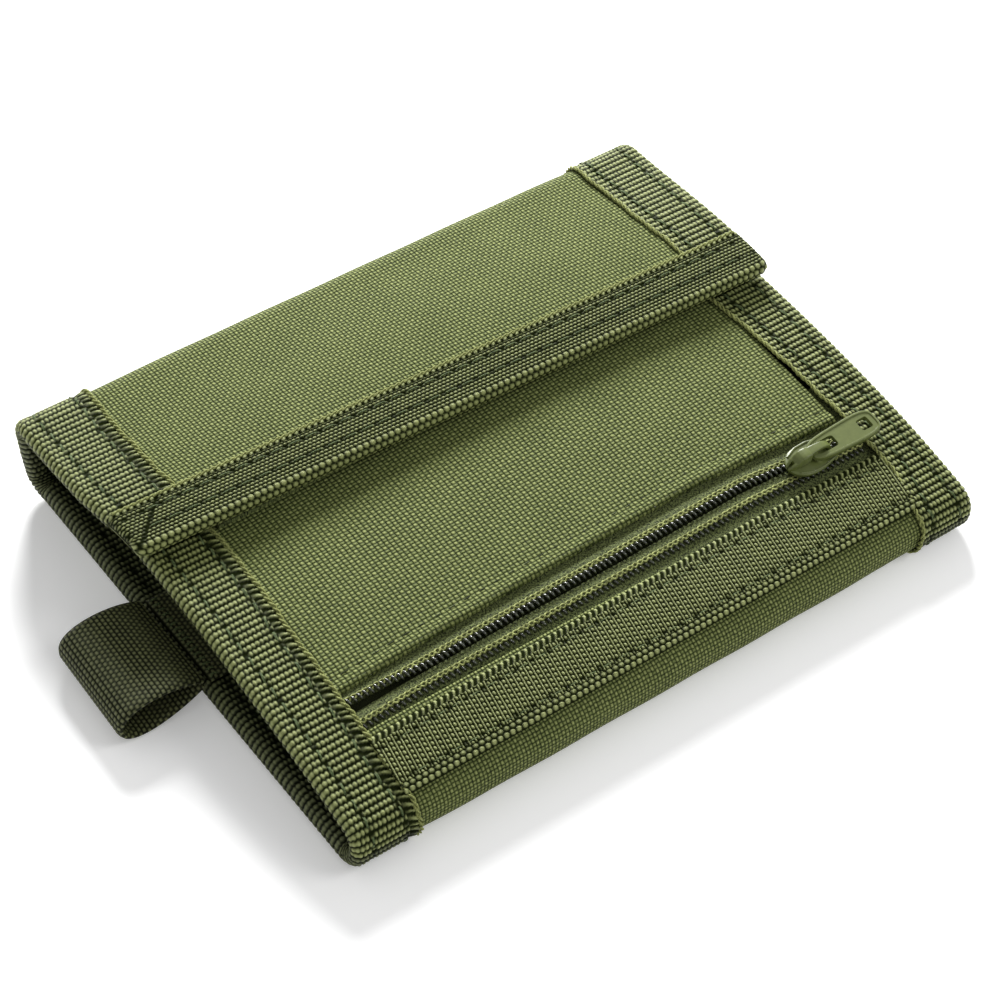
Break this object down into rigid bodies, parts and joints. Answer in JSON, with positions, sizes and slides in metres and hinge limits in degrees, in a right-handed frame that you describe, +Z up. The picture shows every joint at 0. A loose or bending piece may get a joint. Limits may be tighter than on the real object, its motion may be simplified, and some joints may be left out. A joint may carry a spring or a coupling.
{
  "type": "trifold wallet",
  "caption": "Olive nylon trifold wallet with a hook-and-loop flap, a zipped coin pocket on the front panel and a webbing loop at the side.",
  "frame": {"origin": "on the resting face, under the middle of the closed wallet's body (the side loop is left out of that middle)", "axes": "+X along the folds, away from the side loop; +Y from the front fold to the back fold; +Z up, out of the flap"},
  "size_m": [0.1429, 0.0995, 0.0205],
  "materials": {
    "shell_cloth": "plain-woven nylon, matt, olive green",
    "binding_tape": "ribbed nylon binding tape, slight sheen",
    "webbing": "coarse nylon webbing, bead-like ribs",
    "lining": "thin coated nylon lining, dark olive",
    "stiffener": "plain polyethylene sheet, hidden inside the back panel",
    "hook_tape": "hook side of a hook-and-loop fastener",
    "loop_pile": "loop side of a hook-and-loop fastener, fuzzy",
    "zip_tape": "woven zip tape",
    "zip_coil": "nylon coil, glossy",
    "painted_zip_metal": "olive paint on die-cast zinc, satin",
    "clear_window": "clear flexible vinyl"
  },
  "bodies": {
    "back_panel": {"back_cover": "shell_cloth", "back_stiffener": "stiffener", "bill_pocket_lining": "lining", "card_pocket_rear": "lining", "card_pocket_middle": "lining", "card_pocket_front": "lining", "back_binding_left": "binding_tape", "back_binding_right": "binding_tape", "side_loop_tail": "webbing"},
    "back_fold": {"back_fold_cover": "shell_cloth", "back_fold_lining": "lining", "back_fold_binding_left": "binding_tape", "back_fold_binding_right": "binding_tape"},
    "flap": {"flap_cover": "shell_cloth", "flap_lining": "lining", "flap_binding_left": "binding_tape", "flap_binding_right": "binding_tape", "flap_edge_binding": "binding_tape", "flap_hook_tape": "hook_tape"},
    "front_fold": {"front_fold_cover": "shell_cloth", "front_fold_lining": "lining", "front_fold_binding_left": "binding_tape", "front_fold_binding_right": "binding_tape"},
    "zip_panel": {"zip_panel_cover": "shell_cloth", "zip_panel_front_strip": "shell_cloth", "zip_panel_binding_left": "binding_tape", "zip_panel_binding_right": "binding_tape", "zip_panel_edge_binding": "binding_tape", "panel_loop_tape": "loop_pile", "webbing_strip": "webbing", "zip_tape_upper": "zip_tape", "zip_tape_lower": "zip_tape", "zip_coil_upper": "zip_coil", "zip_coil_lower": "zip_coil", "coin_pocket_lining": "lining", "id_window": "clear_window", "id_window_frame": "lining"},
    "zip_slider": {"zip_slider": "painted_zip_metal"},
    "zip_pull": {"zip_pull": "painted_zip_metal"},
    "side_loop": {"side_loop": "webbing"}
  },
  "joints": [
    {"name": "back_fold_bend", "type": "hinge", "parent": "back_panel", "child": "back_fold", "pos_m": [0, 0.05133, 0.00107], "axis": [-1, 0, 0], "range_deg": [0, 90], "deforming": ["back_fold_cover", "back_fold_binding_left", "back_fold_binding_right"]},
    {"name": "flap_bend", "type": "hinge", "parent": "back_fold", "child": "flap", "pos_m": [0, 0.05133, 0.01853], "axis": [-1, 0, 0], "range_deg": [0, 90], "deforming": ["back_fold_cover", "back_fold_binding_left", "back_fold_binding_right"]},
    {"name": "front_fold_bend", "type": "hinge", "parent": "back_panel", "child": "front_fold", "pos_m": [0, -0.04616, 0.0009], "axis": [1, 0, 0], "range_deg": [0, 90], "deforming": ["front_fold_cover", "front_fold_binding_left", "front_fold_binding_right"]},
    {"name": "zip_panel_bend", "type": "hinge", "parent": "front_fold", "child": "zip_panel", "pos_m": [0, -0.04643, 0.0077], "axis": [1, 0, 0], "range_deg": [0, 78], "deforming": ["front_fold_cover", "front_fold_binding_left", "front_fold_binding_right"]},
    {"name": "zip_slide", "type": "slide", "parent": "zip_panel", "child": "zip_slider", "axis": [-1, 0, 0], "range_m": [0, 0.088]},
    {"name": "pull_swing", "type": "hinge", "parent": "zip_slider", "child": "zip_pull", "pos_m": [0.043, -0.02718, 0.01424], "axis": [0, -0.9902, -0.14], "range_deg": [0, 170]},
    {"name": "side_loop_swing", "type": "hinge", "parent": "back_panel", "child": "side_loop", "pos_m": [-0.0639, 0.005, 0.0049], "axis": [0, 1, 0], "range_deg": [0, 60]}
  ],
  "couplings": [
    {"joint": "flap_bend", "follows": "back_fold_bend", "ratio": 1},
    {"joint": "zip_panel_bend", "follows": "front_fold_bend", "ratio": 0.8666}
  ]
}
